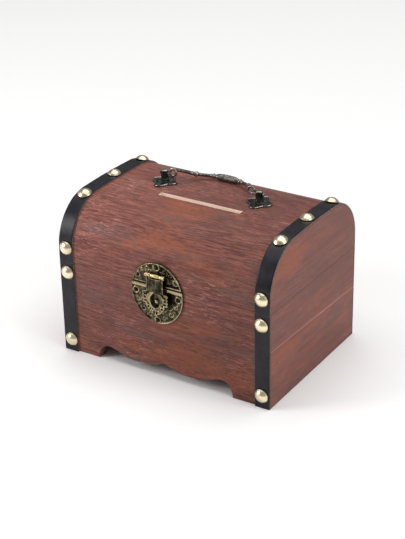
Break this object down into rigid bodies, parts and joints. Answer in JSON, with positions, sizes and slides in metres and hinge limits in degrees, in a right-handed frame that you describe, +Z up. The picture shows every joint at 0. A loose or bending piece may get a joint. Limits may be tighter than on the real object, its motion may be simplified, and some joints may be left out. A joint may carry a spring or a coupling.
{
  "type": "money box",
  "caption": "Wooden chest money box with an arched hinged lid, coin slot, studded leather straps, bail handle and hasp latch.",
  "frame": {"origin": "on the ground at the centre of the footprint", "axes": "+Z up, front with the latch towards -Y, length along X"},
  "size_m": [0.18, 0.1368, 0.1341],
  "materials": {
    "stained_wood": "red-brown stain with dark burnt edges, satin",
    "black_leather": "smooth black, slightly blue, satin",
    "pale_brass": "bright polished",
    "old_brass": "antiqued, dark in the recesses",
    "dark_bronze": "dark bronze, worn bright on the raised parts",
    "hinge_brass": "satin"
  },
  "bodies": {
    "base": {"back_panel": "stained_wood", "base_strap_back_left": "black_leather", "base_strap_back_right": "black_leather", "base_strap_front_left": "black_leather", "base_strap_front_right": "black_leather", "base_stud_back_left_high": "pale_brass", "base_stud_back_left_low": "pale_brass", "base_stud_back_right_high": "pale_brass", "base_stud_back_right_low": "pale_brass", "base_stud_front_left_high": "pale_brass", "base_stud_front_left_low": "pale_brass", "base_stud_front_right_high": "pale_brass", "base_stud_front_right_low": "pale_brass", "bottom_board": "stained_wood", "front_panel": "stained_wood", "hinge_left_base_leaf": "hinge_brass", "hinge_left_base_nail_left": "hinge_brass", "hinge_left_base_nail_right": "hinge_brass", "hinge_left_pin": "hinge_brass", "hinge_right_base_leaf": "hinge_brass", "hinge_right_base_nail_left": "hinge_brass", "hinge_right_base_nail_right": "hinge_brass", "hinge_right_pin": "hinge_brass", "latch_lower_nail_bottom": "old_brass", "latch_lower_nail_left": "old_brass", "latch_lower_nail_right": "old_brass", "latch_lower_plate": "old_brass", "latch_post": "old_brass", "left_end_panel": "stained_wood", "right_end_panel": "stained_wood"},
    "lid": {"handle_bracket_left": "dark_bronze", "handle_bracket_right": "dark_bronze", "hasp_pin": "old_brass", "hinge_left_lid_leaf": "hinge_brass", "hinge_left_lid_nail_left": "hinge_brass", "hinge_left_lid_nail_right": "hinge_brass", "hinge_right_lid_leaf": "hinge_brass", "hinge_right_lid_nail_left": "hinge_brass", "hinge_right_lid_nail_right": "hinge_brass", "latch_upper_nail_left": "old_brass", "latch_upper_nail_right": "old_brass", "latch_upper_nail_top": "old_brass", "latch_upper_plate": "old_brass", "lid_board": "stained_wood", "lid_left_end": "stained_wood", "lid_right_end": "stained_wood", "lid_strap_left": "black_leather", "lid_strap_right": "black_leather", "lid_stud_left_back": "pale_brass", "lid_stud_left_back_shoulder": "pale_brass", "lid_stud_left_crown": "pale_brass", "lid_stud_left_front": "pale_brass", "lid_stud_left_front_shoulder": "pale_brass", "lid_stud_right_back": "pale_brass", "lid_stud_right_back_shoulder": "pale_brass", "lid_stud_right_crown": "pale_brass", "lid_stud_right_front": "pale_brass", "lid_stud_right_front_shoulder": "pale_brass"},
    "hasp": {"hasp": "old_brass"},
    "bail": {"handle_bail": "dark_bronze"}
  },
  "joints": [
    {"name": "lid_hinge", "type": "hinge", "parent": "base", "child": "lid", "pos_m": [0, 0.06565, 0.0755], "axis": [-1, 0, 0], "range_deg": [0, 140]},
    {"name": "hasp_hinge", "type": "hinge", "parent": "lid", "child": "hasp", "pos_m": [-0.0032, -0.06665, 0.0839], "axis": [-1, 0, 0], "range_deg": [0, 160]},
    {"name": "bail_hinge", "type": "hinge", "parent": "lid", "child": "bail", "pos_m": [-0.0012, 0.008, 0.1287], "axis": [1, 0, 0], "range_deg": [0, 150]}
  ]
}
